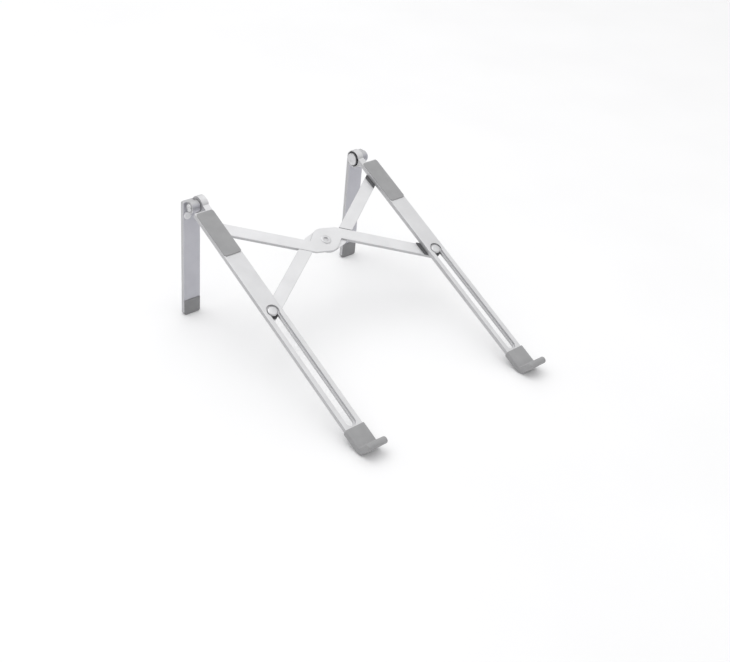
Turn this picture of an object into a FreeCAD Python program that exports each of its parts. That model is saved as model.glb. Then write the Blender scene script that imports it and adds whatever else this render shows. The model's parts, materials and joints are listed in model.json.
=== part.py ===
import FreeCAD, Part
import math
import os
from FreeCAD import Vector

# Folding two-rail laptop stand, millimetres.
# Most pieces are drawn in the rail frame: X across, Y up along the rail from the
# inside corner of the hook, Z square to the rail with 0 on its top face.
# tilt() then leans them to the working slope. Legs are drawn upright.

# ---- overall
slope_deg = 25.5            # lean of the rails when the stand is open
rail_spacing = 180.5        # between rail centre lines, open
folded_gap = 4.0            # between the two rails when folded shut
arm_reach = 101.6           # hub rivet to either end pivot of an arm

# ---- rails
rail_width = 17.0
rail_thick = 4.0
rail_edge_round = 0.5
rim_chamfer = 0.2           # broken edge round the slot
pivot_to_hinge = 22.3       # arm pivot to leg hinge axis, along the rail
barrel_radius = 7.8         # rail ear of the leg hinge
barrel_rise = 2.2           # top of the ear over the top of the rail
barrel_gap = 2.7            # rail end to hinge barrel

# ---- hook at the front
hook_lean_deg = 16.5        # lip leans forward of square
hook_inner_radius = 2.2
lip_length = 9.6            # straight part of the lip
sleeve_wall = 0.9
sleeve_length = 17.4        # how far the sleeve reaches back from the hook corner
sleeve_arm_gap = 0.5        # underside of the sleeve to the folded arm's end

# ---- slot and slider pins
slot_width = 6.4
ledge_width = 9.0
ledge_depth = 1.9
pocket_diameter = 11.2      # parking recess at the rear end of the slot
slot_land = 0.9             # solid rail between the hook sleeve and the slot
slider_gap = 0.2            # slider pin to slot wall
slider_head_thick = 1.55
slider_head_chamfer = 0.55

# ---- arms
arm_thick = 3.0
limb_width = 11.2
arm_edge_chamfer = 0.3
hub_radius = 12.2
taper_start = 10.0          # where a limb starts to blend into the hub
lap_gap = 0.1               # between the two halved hubs
lap_side_gap = 0.4          # beside the other arm in the halved zone
spacer_thick = 1.2          # nylon wear plate between arm and rail
spacer_show = 2.4           # wear plate past the inner edge of the rail

# ---- rivets
rivet_radius = 2.5
running_gap = 0.05
pivot_head_radius = 4.1
pivot_head_thick = 1.3
tail_radius = 4.4
tail_thick = 0.9
tail_washer_radius = 5.2
tail_washer_thick = 0.5
hub_head_radius = 4.5
hub_head_thick = 0.6
hub_eyelet_radius = 2.0
hub_eyelet_depth = 1.2
hub_washer_radius = 8.0
hub_washer_thick = 0.5

# ---- rear pads on the rails
rear_pad_length = 45.5
rear_pad_margin = 0.2       # bare rail on each side of the pad
rear_pad_end_margin = 0.9   # bare rail behind the pad
rear_pad_thick = 0.9
rear_pad_corner = 2.2

# ---- legs and leg hinges
leg_thick = 3.2
leg_corner = 1.6
leg_edge_chamfer = 0.4
ear_width = 5.9             # rail ear, on the inner side
knuckle_radius = 5.0
knuckle_inset = 3.3         # leg knuckle back from the outer edge of the leg
friction_washer_thick = 0.5
leg_top = 3.4               # leg plate over the hinge axis
ear_recess_radius = 7.0
ear_recess_depth = 3.7
hinge_head_radius = 3.2
hinge_head_thick = 1.4
hinge_nut_radius = 6.2
hinge_nut_thick = 4.1
hinge_cap_radius = 5.5      # riveted inner end of the pin
hinge_cap_thick = 0.6
disc_spring_radius = 5.4
disc_spring_thick = 0.7
knuckle_clearance = 0.4     # leg plate round the rail ear
stop_radius = 3.4
stop_thick = 1.3
stop_drop = 9.0             # stop button below the hinge axis
stop_offset = 4.4           # stop button towards the outer edge
foot_pad_height = 14.5
foot_pad_back_height = 9.0
foot_pad_wall = 0.8
foot_pad_sole = 1.6
foot_pad_margin = 0.5

# ---- worked out from the above
slope = math.radians(slope_deg)
lean = math.radians(hook_lean_deg)
half_spacing = rail_spacing / 2
limb_offset = (rail_width + folded_gap) / 2
fold = math.asin(limb_offset / arm_reach)
open_angle = math.asin(half_spacing / arm_reach)
slider_fold_y = sleeve_length + slot_land + ledge_width / 2
rear_pivot_y = slider_fold_y + 2 * arm_reach * math.cos(fold)
hub_y = rear_pivot_y - arm_reach * math.cos(open_angle)
slider_open_y = rear_pivot_y - 2 * arm_reach * math.cos(open_angle)
hinge_y = rear_pivot_y + pivot_to_hinge
hinge_z = barrel_rise - barrel_radius
arm_top = -rail_thick - spacer_thick
arm_bottom = arm_top - arm_thick
arm_middle = arm_top - arm_thick / 2
rail_end_y = hinge_y - barrel_radius - barrel_gap
slider_radius = slot_width / 2 - slider_gap
slider_head_radius = ledge_width / 2 - slider_gap
hook_centre = Vector(0, hook_inner_radius * (1 - math.sin(lean)) / math.cos(lean), hook_inner_radius)
hook_outer_radius = hook_inner_radius + rail_thick + sleeve_wall

SIDES = {"left": -1, "right": 1}


def tilt_raw(point):
    """A rail-frame point leaned to the slope, before the stand is centred."""
    return Vector(point.x,
                  point.y * math.cos(slope) - point.z * math.sin(slope),
                  point.y * math.sin(slope) + point.z * math.cos(slope))


def lip_tip_centre():
    """Centre of the rounded lip tip, in the rail frame."""
    along_lip = Vector(0, -math.sin(lean), math.cos(lean))
    off_lip = Vector(0, math.cos(lean), math.sin(lean))
    middle = hook_centre - off_lip * (hook_inner_radius + rail_thick / 2)
    return middle + along_lip * lip_length


# The hook sleeve and the foot pads stand on Z = 0, and Y = 0 is half way
# between the lip tip and the back of the foot pads.
lift = hook_outer_radius - tilt_raw(hook_centre).z
front_y = tilt_raw(lip_tip_centre()).y - rail_thick / 2 - sleeve_wall
back_y = tilt_raw(Vector(0, hinge_y, hinge_z)).y + barrel_radius + foot_pad_wall
shift_y = -(front_y + back_y) / 2


def tilt_point(point):
    """A rail-frame point in the stand's own frame."""
    raw = tilt_raw(point)
    return Vector(raw.x, raw.y + shift_y, raw.z + lift)


def tilt(shape):
    """Lean a rail-frame shape to the slope and set it on the table."""
    leaned = shape.copy()
    leaned.rotate(Vector(0, 0, 0), Vector(1, 0, 0), slope_deg)
    leaned.translate(Vector(0, shift_y, lift))
    return leaned


# ---- small shape helpers

def block(x_range, y_range, z_range):
    """A box between two corners, whichever way round they are given."""
    low = Vector(min(x_range), min(y_range), min(z_range))
    high = Vector(max(x_range), max(y_range), max(z_range))
    size = high - low
    return Part.makeBox(size.x, size.y, size.z, low)


def upright_cylinder(x, y, z_range, radius):
    """A round bar square to the rail."""
    return Part.makeCylinder(radius, max(z_range) - min(z_range), Vector(x, y, min(z_range)))


def cross_cylinder(y, z, x_range, radius):
    """A round bar along the hinge axis."""
    return Part.makeCylinder(radius, max(x_range) - min(x_range),
                             Vector(min(x_range), y, z), Vector(1, 0, 0))


def slot_block(x, y_range, z_range, width):
    """A round-ended bar along the rail."""
    middle = block((x - width / 2, x + width / 2), y_range, z_range)
    ends = [upright_cylinder(x, y, z_range, width / 2) for y in y_range]
    return middle.fuse(ends).removeSplitter()


def rounded_plate(x_range, y_range, z_range, corner):
    """A plate with its four upright corners rounded."""
    plate = block(x_range, y_range, z_range)
    upright = [e for e in plate.Edges if abs(e.tangentAt(e.FirstParameter).z) > 0.99]
    return plate.makeFillet(corner, upright)


def rim_edges(shape, z):
    """The circular edges that lie at height z."""
    return [e for e in shape.Edges
            if isinstance(e.Curve, Part.Circle) and abs(e.BoundBox.ZMin - z) < 1e-4
            and abs(e.BoundBox.ZMax - z) < 1e-4]


def round_rim(shape, radius, z):
    """Round the circular edges that lie at height z."""
    return shape.makeFillet(radius, rim_edges(shape, z))


def link(first, first_radius, second, second_radius, z_range):
    """A plate that runs from one round end to another, with straight flanks."""
    step = second - first
    heading = math.atan2(step.y, step.x)
    flank = math.acos((first_radius - second_radius) / step.Length)

    def rim(centre, radius, angle):
        return Vector(centre.x + radius * math.cos(angle), centre.y + radius * math.sin(angle), min(z_range))

    a_left = rim(first, first_radius, heading + flank)
    a_back = rim(first, first_radius, heading + math.pi)
    a_right = rim(first, first_radius, heading - flank)
    b_left = rim(second, second_radius, heading + flank)
    b_front = rim(second, second_radius, heading)
    b_right = rim(second, second_radius, heading - flank)
    outline = Part.Wire([Part.makeLine(a_right, b_right),
                         Part.Arc(b_right, b_front, b_left).toShape(),
                         Part.makeLine(b_left, a_left),
                         Part.Arc(a_left, a_back, a_right).toShape()])
    return Part.Face(outline).extrude(Vector(0, 0, max(z_range) - min(z_range)))


# ---- rails

def hook_profile(grow, back):
    """Side view of the hook, grown by a wall, from the lip tip back along the rail."""
    off_rail = Vector(0, 0, 1)
    off_lip = Vector(0, math.cos(lean), math.sin(lean))
    along_lip = Vector(0, -math.sin(lean), math.cos(lean))
    half_way = (off_rail + off_lip).normalize()
    inner = hook_inner_radius - grow
    outer = hook_inner_radius + rail_thick + grow

    def on_rail(radius, y):
        return Vector(0, y, hook_centre.z - radius)

    def on_lip(radius, rise):
        return hook_centre - off_lip * radius + along_lip * rise

    tip = lip_tip_centre() + along_lip * (rail_thick / 2 + grow)
    edges = [
        Part.makeLine(on_rail(inner, back), on_rail(inner, hook_centre.y)),
        Part.Arc(on_rail(inner, hook_centre.y), hook_centre - half_way * inner, on_lip(inner, 0)).toShape(),
        Part.makeLine(on_lip(inner, 0), on_lip(inner, lip_length)),
        Part.Arc(on_lip(inner, lip_length), tip, on_lip(outer, lip_length)).toShape(),
        Part.makeLine(on_lip(outer, lip_length), on_lip(outer, 0)),
        Part.Arc(on_lip(outer, 0), hook_centre - half_way * outer, on_rail(outer, hook_centre.y)).toShape(),
        Part.makeLine(on_rail(outer, hook_centre.y), on_rail(outer, back)),
        Part.makeLine(on_rail(outer, back), on_rail(inner, back)),
    ]
    return Part.Wire(edges)


def hooked_bar(grow, back, width, edge_round):
    """The hook profile pulled across, with its long edges rounded."""
    face = Part.Face(hook_profile(grow, back))
    bar = face.extrude(Vector(width, 0, 0))
    bar.translate(Vector(-width / 2, 0, 0))
    side_edges = [e for e in bar.Edges
                  if e.BoundBox.XLength < 1e-4 and abs(e.BoundBox.YMax - back) > 1e-3 or
                  e.BoundBox.XLength < 1e-4 and e.BoundBox.YLength > 1e-3]
    return bar.makeFillet(edge_round, side_edges)


def ear_x(side):
    """Inner and outer X of the rail ear, about the rail's centre line."""
    inner = -side * rail_width / 2
    return inner, inner + side * ear_width


def make_rail(side):
    """Bent flat bar with its stepped slot, pivot hole, pad recess and hinge ear."""
    x = side * half_spacing
    bar = hooked_bar(0, rail_end_y, rail_width, rail_edge_round)

    ear_inner, ear_outer = ear_x(side)
    ear = cross_cylinder(hinge_y, hinge_z, (ear_inner, ear_outer), barrel_radius)
    neck = block((ear_inner, ear_outer), (rail_end_y - 1, hinge_y), (-rail_thick, 0))
    bar = bar.fuse([ear, neck]).removeSplitter()

    bore = cross_cylinder(hinge_y, hinge_z, (ear_inner - side, ear_outer + side), rivet_radius + running_gap)
    recess = cross_cylinder(hinge_y, hinge_z, (ear_inner - side, ear_inner + side * ear_recess_depth),
                            ear_recess_radius)
    through = slot_block(0, (slider_fold_y, slider_open_y), (-rail_thick - 1, 1), slot_width)
    ledge = slot_block(0, (slider_fold_y, slider_open_y), (-ledge_depth, 1), ledge_width)
    pocket = upright_cylinder(0, slider_open_y, (-ledge_depth, 1), pocket_diameter / 2)
    rivet_hole = upright_cylinder(0, rear_pivot_y, (-rail_thick - 1, 1), rivet_radius + running_gap)
    rivet_sink = upright_cylinder(0, rear_pivot_y, (-pivot_head_thick, 1), pivot_head_radius + running_gap)
    bar = bar.cut([bore, recess, through, ledge, pocket])
    slot_rims = [e for e in bar.Edges
                 if abs(e.BoundBox.ZMin) < 1e-4 and abs(e.BoundBox.ZMax) < 1e-4
                 and max(abs(e.BoundBox.XMin), abs(e.BoundBox.XMax)) < rail_width / 2 - rail_edge_round - 0.1
                 and e.BoundBox.YMax < rear_pivot_y]
    bar = bar.makeChamfer(rim_chamfer, slot_rims)
    bar = bar.cut([rivet_hole, rivet_sink])
    bar.translate(Vector(x, 0, 0))
    return tilt(bar)


def rear_pad_plate(z_range):
    """Outline of the rear pad, between two heights."""
    back = rail_end_y - rear_pad_end_margin
    half = rail_width / 2 - rear_pad_margin
    return rounded_plate((-half, half), (back - rear_pad_length, back), z_range, rear_pad_corner)


def make_rear_pad(side):
    """Silicone pad glued on top of the rail, over the pivot rivet."""
    pad = rear_pad_plate((0, rear_pad_thick))
    pad.translate(Vector(side * half_spacing, 0, 0))
    return tilt(pad)


def make_hook_sleeve(side):
    """Silicone boot pulled over the lip and the front of the rail."""
    width = rail_width + 2 * sleeve_wall
    boot = hooked_bar(sleeve_wall, sleeve_length, width, sleeve_wall)
    arm_room = block((-width, width),
                     (slider_fold_y - limb_width / 2 - sleeve_arm_gap, rail_end_y),
                     (-rail_thick - 2 * sleeve_wall, -rail_thick))
    boot = boot.cut([hooked_bar(0, rail_end_y, rail_width, rail_edge_round), arm_room])
    boot.translate(Vector(side * half_spacing, 0, 0))
    return tilt(boot)


# ---- arms

def arm_points(side):
    """Rear pivot, front pivot, hub centre and unit vectors of an arm.

    side is the side of the arm's rear pivot. along runs from the hub's foot
    point towards the rear pivot, and aside is square to it, out to the limb."""
    rear = Vector(side * half_spacing, rear_pivot_y, 0)
    front = Vector(-side * half_spacing, slider_open_y, 0)
    hub = Vector(0, hub_y, 0)
    angle = open_angle - fold
    along = Vector(side * math.sin(angle), math.cos(angle), 0)
    aside = Vector(side * math.cos(angle), -math.sin(angle), 0)
    return rear, front, hub, along, aside


def arm_blank(side, z_range):
    """Z-shaped arm: two parallel limbs, either side of a round hub."""
    rear, front, hub, along, aside = arm_points(side)
    rear_knee = hub + aside * limb_offset + along * taper_start
    front_knee = hub - aside * limb_offset - along * taper_start
    half = limb_width / 2
    pieces = [link(rear, half, rear_knee, half, z_range),
              link(front, half, front_knee, half, z_range),
              link(rear_knee, half, hub, hub_radius, z_range),
              link(front_knee, half, hub, hub_radius, z_range)]
    return pieces[0].fuse(pieces[1:]).removeSplitter()


def lap_cutter(side, z_range):
    """The zone that the other arm sweeps over, as a wide bar across the hub."""
    _, _, hub, along, aside = arm_points(-side)
    half_width = limb_offset + limb_width / 2 + lap_side_gap
    half_length = arm_reach
    corners = [hub + aside * half_width * i + along * half_length * j
               for i, j in ((-1, -1), (1, -1), (1, 1), (-1, 1), (-1, -1))]
    corners = [Vector(c.x, c.y, min(z_range)) for c in corners]
    return Part.Face(Part.makePolygon(corners)).extrude(Vector(0, 0, max(z_range) - min(z_range)))


def make_arm(side, keeps_top):
    """One arm, halved where it crosses the other, with its three holes."""
    rear, front, hub, _, _ = arm_points(side)
    arm = arm_blank(side, (arm_bottom, arm_top))
    outline = [e for e in arm.Edges if e.BoundBox.ZLength < 1e-4]
    arm = arm.makeChamfer(arm_edge_chamfer, outline)
    if keeps_top:
        lap = lap_cutter(side, (arm_bottom - 1, arm_middle + lap_gap / 2))
    else:
        lap = lap_cutter(side, (arm_middle - lap_gap / 2, arm_top + 1))
    holes = [upright_cylinder(rear.x, rear.y, (arm_bottom - 1, arm_top + 1), rivet_radius + running_gap),
             upright_cylinder(front.x, front.y, (arm_bottom - 1, arm_top + 1), slider_radius),
             upright_cylinder(hub.x, hub.y, (arm_bottom - 1, arm_top + 1), rivet_radius + running_gap)]
    if not keeps_top:
        seat = (arm_middle - hub_washer_thick + lap_gap / 2, arm_top)
        holes.append(upright_cylinder(hub.x, hub.y, seat, hub_washer_radius + running_gap))
    return tilt(arm.cut([lap] + holes))


def make_spacer(side, at_front):
    """Nylon wear plate on the end of an arm, cut straight beside the rail."""
    rear, front, _, _, _ = arm_points(side)
    end = front if at_front else rear
    rail_side = 1 if end.x > 0 else -1
    z_range = (arm_top, -rail_thick)
    edge_x = end.x - rail_side * (rail_width / 2 + spacer_show)
    window = block((edge_x, end.x + rail_side * rail_width), (end.y - rail_width, end.y + rail_width), z_range)
    plate = arm_blank(side, z_range).common(window)
    hole_radius = slider_radius if at_front else rivet_radius + running_gap
    hole = upright_cylinder(end.x, end.y, (arm_top - 1, 0), hole_radius)
    return tilt(plate.cut(hole))


# ---- rivets, pins and washers

def make_hub_rivet():
    """Eyelet rivet through the halved hub."""
    hub = arm_points(1)[2]
    shank = upright_cylinder(0, hub.y, (arm_bottom - tail_thick, arm_top + hub_head_thick), rivet_radius)
    head = upright_cylinder(0, hub.y, (arm_top, arm_top + hub_head_thick), hub_head_radius)
    head = round_rim(head, hub_head_thick / 2, arm_top + hub_head_thick)
    tail = upright_cylinder(0, hub.y, (arm_bottom - tail_thick, arm_bottom), tail_radius)
    tail = round_rim(tail, tail_thick / 2, arm_bottom - tail_thick)
    eyelet = upright_cylinder(0, hub.y, (arm_top + hub_head_thick - hub_eyelet_depth, arm_top + 2),
                              hub_eyelet_radius)
    return tilt(shank.fuse([head, tail]).cut(eyelet).removeSplitter())


def make_hub_washer():
    """Thin nylon ring let into the lower hub."""
    hub = arm_points(1)[2]
    z_range = (arm_middle - hub_washer_thick + lap_gap / 2, arm_middle + lap_gap / 2)
    ring = upright_cylinder(0, hub.y, z_range, hub_washer_radius)
    return tilt(ring.cut(upright_cylinder(0, hub.y, z_range, rivet_radius + running_gap)))


def make_pivot_rivet(side):
    """Flush rivet that joins an arm's rear end to its rail, under the rear pad."""
    rear = arm_points(side)[0]
    bottom = arm_bottom - tail_washer_thick - tail_thick
    shank = upright_cylinder(rear.x, rear.y, (bottom, 0), rivet_radius)
    head = upright_cylinder(rear.x, rear.y, (-pivot_head_thick, 0), pivot_head_radius)
    tail = upright_cylinder(rear.x, rear.y, (bottom, bottom + tail_thick), tail_radius)
    tail = round_rim(tail, tail_thick / 2, bottom)
    return tilt(shank.fuse([head, tail]).removeSplitter())


def make_slider_pin(side):
    """Headed pin on an arm's front end that rides in the slot of the other rail."""
    front = arm_points(side)[1]
    bottom = arm_bottom - tail_washer_thick - tail_thick
    head_bottom = -ledge_depth + slider_gap
    head_top = head_bottom + slider_head_thick
    shank = upright_cylinder(front.x, front.y, (bottom, head_top), slider_radius)
    head = upright_cylinder(front.x, front.y, (head_bottom, head_top), slider_head_radius)
    head = head.makeChamfer(slider_head_chamfer, rim_edges(head, head_top))
    tail = upright_cylinder(front.x, front.y, (bottom, bottom + tail_thick), tail_radius)
    tail = round_rim(tail, tail_thick / 2, bottom)
    return tilt(shank.fuse([head, tail]).removeSplitter())


def make_tail_washers(side):
    """Steel washers under the two ends of an arm."""
    rear, front, _, _, _ = arm_points(side)
    z_range = (arm_bottom - tail_washer_thick, arm_bottom)
    rings = []
    for end, bore in ((rear, rivet_radius + running_gap), (front, slider_radius)):
        ring = upright_cylinder(end.x, end.y, z_range, tail_washer_radius)
        rings.append(ring.cut(upright_cylinder(end.x, end.y, z_range, bore)))
    return tilt(Part.makeCompound(rings))


# ---- legs, drawn upright about the hinge axis

def hinge_point(side):
    """Hinge axis where it crosses the rail's centre line."""
    return tilt_point(Vector(side * half_spacing, hinge_y, hinge_z))


def hinge_stations(side):
    """X of each face along the hinge axis, from the outer end inwards."""
    x = side * half_spacing
    leg_outer = x + side * rail_width / 2
    knuckle_outer = leg_outer - side * knuckle_inset
    ear_outer = x + ear_x(side)[1]
    knuckle_inner = ear_outer + side * friction_washer_thick
    ear_inner = x + ear_x(side)[0]
    recess_floor = ear_inner + side * ear_recess_depth
    return knuckle_outer, knuckle_inner, ear_outer, recess_floor, ear_inner


def make_leg(side):
    """Flat leg with a hinge knuckle near its top, hollowed to clear the rail ear."""
    axis = hinge_point(side)
    knuckle_outer, knuckle_inner, ear_outer, _, ear_inner = hinge_stations(side)
    edges_x = (axis.x - rail_width / 2, axis.x + rail_width / 2)
    back = axis.y + barrel_radius
    plate = block(edges_x, (back - leg_thick, back), (foot_pad_sole, axis.z + leg_top))
    corners = [e for e in plate.Edges
               if abs(e.tangentAt(e.FirstParameter).y) > 0.99]
    plate = plate.makeFillet(leg_corner, corners)
    front_rim = [e for e in plate.Edges
                 if e.BoundBox.YLength < 1e-4 and abs(e.BoundBox.YMin - (back - leg_thick)) < 1e-4]
    plate = plate.makeChamfer(leg_edge_chamfer, front_rim)
    knuckle = cross_cylinder(axis.y, axis.z, (knuckle_outer, knuckle_inner), knuckle_radius)
    web = block((knuckle_outer, knuckle_inner), (axis.y, back - leg_thick / 2),
                (axis.z - knuckle_radius, axis.z + leg_top))
    clear_radius = barrel_radius + knuckle_clearance
    inner_room = cross_cylinder(axis.y, axis.z, (knuckle_inner, ear_inner - side), clear_radius)
    bore = cross_cylinder(axis.y, axis.z, (knuckle_outer + side, ear_inner), rivet_radius + running_gap)
    leg = plate.fuse([knuckle, web]).cut([inner_room, bore])
    return leg.removeSplitter()


def make_foot_pad(side):
    """Silicone boot round the foot of the leg."""
    axis = hinge_point(side)
    half = rail_width / 2 - foot_pad_margin
    back = axis.y + barrel_radius
    front = back - leg_thick
    x_range = (axis.x - half, axis.x + half)
    sole = block(x_range, (front - foot_pad_wall, back + foot_pad_wall), (0, foot_pad_sole))
    front_wall = block(x_range, (front - foot_pad_wall, front), (0, foot_pad_height))
    back_wall = block(x_range, (back, back + foot_pad_wall), (0, foot_pad_back_height))
    return sole.fuse([front_wall, back_wall]).removeSplitter()


def make_leg_stop(side):
    """Round button on the front of the leg."""
    axis = hinge_point(side)
    front = axis.y + barrel_radius - leg_thick
    centre = Vector(axis.x + side * stop_offset, front, axis.z - stop_drop)
    button = Part.makeCylinder(stop_radius, stop_thick, centre, Vector(0, -1, 0))
    rim = [e for e in button.Edges
           if isinstance(e.Curve, Part.Circle) and abs(e.BoundBox.YMax - (front - stop_thick)) < 1e-4]
    return button.makeFillet(stop_thick / 2, rim)


def make_hinge_pin(side):
    """Hinge pin with its head at the outer end and a riveted cap over the nut."""
    axis = hinge_point(side)
    knuckle_outer, _, _, recess_floor, _ = hinge_stations(side)
    nut_end = recess_floor - side * (disc_spring_thick + hinge_nut_thick)
    shank = cross_cylinder(axis.y, axis.z, (knuckle_outer, nut_end), rivet_radius)
    head_x = (knuckle_outer, knuckle_outer + side * hinge_head_thick)
    head = cross_cylinder(axis.y, axis.z, head_x, hinge_head_radius)
    rim = [e for e in head.Edges
           if isinstance(e.Curve, Part.Circle) and abs(e.BoundBox.XMin - head_x[1]) < 1e-4]
    head = head.makeFillet(hinge_head_thick / 3, rim)
    cap = cross_cylinder(axis.y, axis.z, (nut_end, nut_end - side * hinge_cap_thick), hinge_cap_radius)
    return shank.fuse([head, cap]).removeSplitter()


def make_hinge_ring(side, x_range, radius, bore):
    """A ring on the hinge axis."""
    axis = hinge_point(side)
    ring = cross_cylinder(axis.y, axis.z, x_range, radius)
    return ring.cut(cross_cylinder(axis.y, axis.z, x_range, bore))


def make_friction_washer(side):
    """Washer between the leg knuckle and the rail ear."""
    _, knuckle_inner, ear_outer, _, _ = hinge_stations(side)
    return make_hinge_ring(side, (knuckle_inner, ear_outer), knuckle_radius, rivet_radius + running_gap)


def make_disc_spring(side):
    """Conical spring on the floor of the ear's recess."""
    axis = hinge_point(side)
    floor = hinge_stations(side)[3]
    far = floor - side * disc_spring_thick
    half = disc_spring_thick / 2
    bore = rivet_radius + running_gap
    section = [Vector(floor, axis.y + disc_spring_radius, axis.z),
               Vector(floor - side * half, axis.y + disc_spring_radius, axis.z),
               Vector(far, axis.y + bore, axis.z),
               Vector(far + side * half, axis.y + bore, axis.z)]
    face = Part.Face(Part.makePolygon(section + section[:1]))
    return face.revolve(axis, Vector(1, 0, 0), 360)


def make_hinge_nut(side):
    """Round nut that fills the ear's recess and stands out of it."""
    start = hinge_stations(side)[3] - side * disc_spring_thick
    return make_hinge_ring(side, (start, start - side * hinge_nut_thick), hinge_nut_radius, rivet_radius)


def build_parts():
    """Every node of the stand by name."""
    parts = {}
    for name, side in SIDES.items():
        parts["rail_" + name] = make_rail(side)
        parts["hook_sleeve_" + name] = make_hook_sleeve(side)
        parts["rear_pad_" + name] = make_rear_pad(side)
        parts["pivot_rivet_" + name] = make_pivot_rivet(side)
        parts["leg_" + name] = make_leg(side)
        parts["foot_pad_" + name] = make_foot_pad(side)
        parts["leg_stop_" + name] = make_leg_stop(side)
        parts["hinge_pin_" + name] = make_hinge_pin(side)
        parts["hinge_friction_washer_" + name] = make_friction_washer(side)
        parts["hinge_disc_spring_" + name] = make_disc_spring(side)
        parts["hinge_nut_" + name] = make_hinge_nut(side)
    for name, side, keeps_top in (("upper", -1, True), ("lower", 1, False)):
        parts["arm_" + name] = make_arm(side, keeps_top)
        parts[name + "_arm_pivot_spacer"] = make_spacer(side, False)
        parts[name + "_arm_slider_spacer"] = make_spacer(side, True)
        parts[name + "_arm_slider_pin"] = make_slider_pin(side)
        parts[name + "_arm_tail_washers"] = make_tail_washers(side)
    parts["hub_rivet"] = make_hub_rivet()
    parts["hub_washer"] = make_hub_washer()
    return parts


os.makedirs("parts", exist_ok=True)
for node, shape in build_parts().items():
    shape.exportStep("parts/" + node + ".step")
    print(node, round(shape.Volume, 1), shape.isValid(), len(shape.Solids))
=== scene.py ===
import json
import math
import bmesh
import bpy
from mathutils import Matrix, Vector


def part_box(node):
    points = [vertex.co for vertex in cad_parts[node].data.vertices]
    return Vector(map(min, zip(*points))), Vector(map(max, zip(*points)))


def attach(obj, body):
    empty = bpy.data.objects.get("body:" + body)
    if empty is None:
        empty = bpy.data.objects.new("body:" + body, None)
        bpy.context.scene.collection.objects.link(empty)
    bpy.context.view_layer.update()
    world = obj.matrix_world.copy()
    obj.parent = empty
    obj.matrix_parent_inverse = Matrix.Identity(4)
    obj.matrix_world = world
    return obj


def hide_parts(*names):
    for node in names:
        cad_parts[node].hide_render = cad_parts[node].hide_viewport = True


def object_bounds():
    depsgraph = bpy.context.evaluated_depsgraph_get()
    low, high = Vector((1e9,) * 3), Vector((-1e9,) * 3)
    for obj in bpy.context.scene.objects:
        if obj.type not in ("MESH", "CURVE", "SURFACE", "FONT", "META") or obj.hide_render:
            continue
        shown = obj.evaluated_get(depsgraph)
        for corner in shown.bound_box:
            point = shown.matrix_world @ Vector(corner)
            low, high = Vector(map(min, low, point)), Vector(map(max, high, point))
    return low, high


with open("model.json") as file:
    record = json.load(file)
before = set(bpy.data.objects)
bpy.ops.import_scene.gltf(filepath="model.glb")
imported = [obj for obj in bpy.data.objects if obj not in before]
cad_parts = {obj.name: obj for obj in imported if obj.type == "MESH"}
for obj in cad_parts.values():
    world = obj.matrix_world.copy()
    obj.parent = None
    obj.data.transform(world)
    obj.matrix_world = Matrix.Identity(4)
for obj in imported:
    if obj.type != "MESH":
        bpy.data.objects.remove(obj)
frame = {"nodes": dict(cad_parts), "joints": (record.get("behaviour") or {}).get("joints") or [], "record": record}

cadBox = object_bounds()
nodes = frame["nodes"]
joints = {j["name"]: j for j in frame["joints"]}
print("frame loaded:", len(nodes), "nodes")

# The rails lean; everything on them is worked out in the rail's own axes:
# x across, y back along the rail, z square to its top face.
railNormal = Vector(joints["hub_turn"]["axis"]).normalized()
railAlong = Vector((0, railNormal.z, -railNormal.y))
railTurn = Matrix((Vector((1, 0, 0)), railAlong, railNormal)).transposed()
sides = {"left": -1, "right": 1}


def localBox(node, base):
    # a node's corners in the rail's axes, seen from a base point
    toLocal = railTurn.transposed()
    spots = [toLocal @ (v.co - base) for v in nodes[node].data.vertices]
    low = Vector(min(s[i] for s in spots) for i in range(3))
    high = Vector(max(s[i] for s in spots) for i in range(3))
    return low, high


def railPoint(base, x, y, z):
    return base + railTurn @ Vector((x, y, z))


# materials: noise on object coordinates drives colour, roughness and bump
def newMaterial(name):
    mat = bpy.data.materials.new(name)
    mat.use_nodes = True
    tree = mat.node_tree
    return mat, tree, tree.nodes["Principled BSDF"]


def addNode(tree, kind, place, **values):
    node = tree.nodes.new(kind)
    node.location = place
    for key, value in values.items():
        setattr(node, key, value)
    return node


def grain(tree, scale, detail, place, stretch=(1, 1, 1)):
    # noise in the object's own coordinates, so it stays put on the piece
    coords = addNode(tree, "ShaderNodeTexCoord", (place[0] - 400, place[1]))
    mapping = addNode(tree, "ShaderNodeMapping", (place[0] - 200, place[1]))
    mapping.inputs["Scale"].default_value = stretch
    noise = addNode(tree, "ShaderNodeTexNoise", place)
    noise.inputs["Scale"].default_value = scale
    noise.inputs["Detail"].default_value = detail
    tree.links.new(coords.outputs["Object"], mapping.inputs["Vector"])
    tree.links.new(mapping.outputs["Vector"], noise.inputs["Vector"])
    return noise


def spread(tree, source, low, high, place, fromLow=0.3, fromHigh=0.7):
    # a noise value remapped to a range
    remap = addNode(tree, "ShaderNodeMapRange", place)
    remap.inputs["From Min"].default_value = fromLow
    remap.inputs["From Max"].default_value = fromHigh
    remap.inputs["To Min"].default_value = low
    remap.inputs["To Max"].default_value = high
    tree.links.new(source, remap.inputs["Value"])
    return remap.outputs["Result"]


def tint(tree, source, dark, light, place):
    ramp = addNode(tree, "ShaderNodeValToRGB", place)
    ramp.color_ramp.elements[0].position = 0.3
    ramp.color_ramp.elements[0].color = (*dark, 1)
    ramp.color_ramp.elements[1].position = 0.7
    ramp.color_ramp.elements[1].color = (*light, 1)
    tree.links.new(source, ramp.inputs["Fac"])
    return ramp.outputs["Color"]


def mixColour(tree, factor, first, second, place):
    mix = addNode(tree, "ShaderNodeMix", place, data_type="RGBA")
    tree.links.new(factor, mix.inputs["Factor"])
    tree.links.new(first, mix.inputs["A"])
    tree.links.new(second, mix.inputs["B"])
    return mix.outputs["Result"]


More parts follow.
